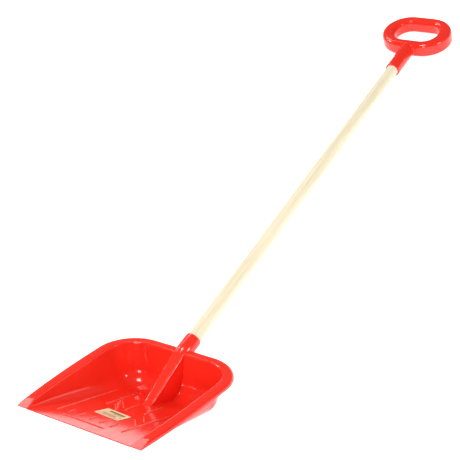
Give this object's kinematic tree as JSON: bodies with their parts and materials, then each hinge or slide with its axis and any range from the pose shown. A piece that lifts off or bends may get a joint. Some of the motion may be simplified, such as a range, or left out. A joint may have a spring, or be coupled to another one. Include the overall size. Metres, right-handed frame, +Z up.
{
  "type": "long-handled scoop shovel",
  "caption": "Long-handled plastic scoop shovel with a rolled rim, a ridge up to its shaft socket, a wooden shaft and a D-shaped grip.",
  "frame": {"origin": "centre of the bounding box on the surface the shovel lies on", "axes": "+Y from the scoop towards the grip, +Z up with the open pan facing up and back, +X across the scoop"},
  "size_m": [0.229, 1.1466, 0.1381],
  "materials": {
    "red_plastic": "glossy moulded plastic with a few faint scuffs",
    "pale_wood": "smooth unvarnished pale wood with a fine straight grain",
    "sticker": "printed sticker, pale gold with plain dark and red bars",
    "zinc_steel": "bright zinc-plated steel"
  },
  "bodies": {
    "root": {"scoop": "red_plastic", "shaft": "pale_wood", "grip": "red_plastic", "label": "sticker", "scoop_screw": "zinc_steel", "grip_screw": "zinc_steel"}
  },
  "joints": []
}
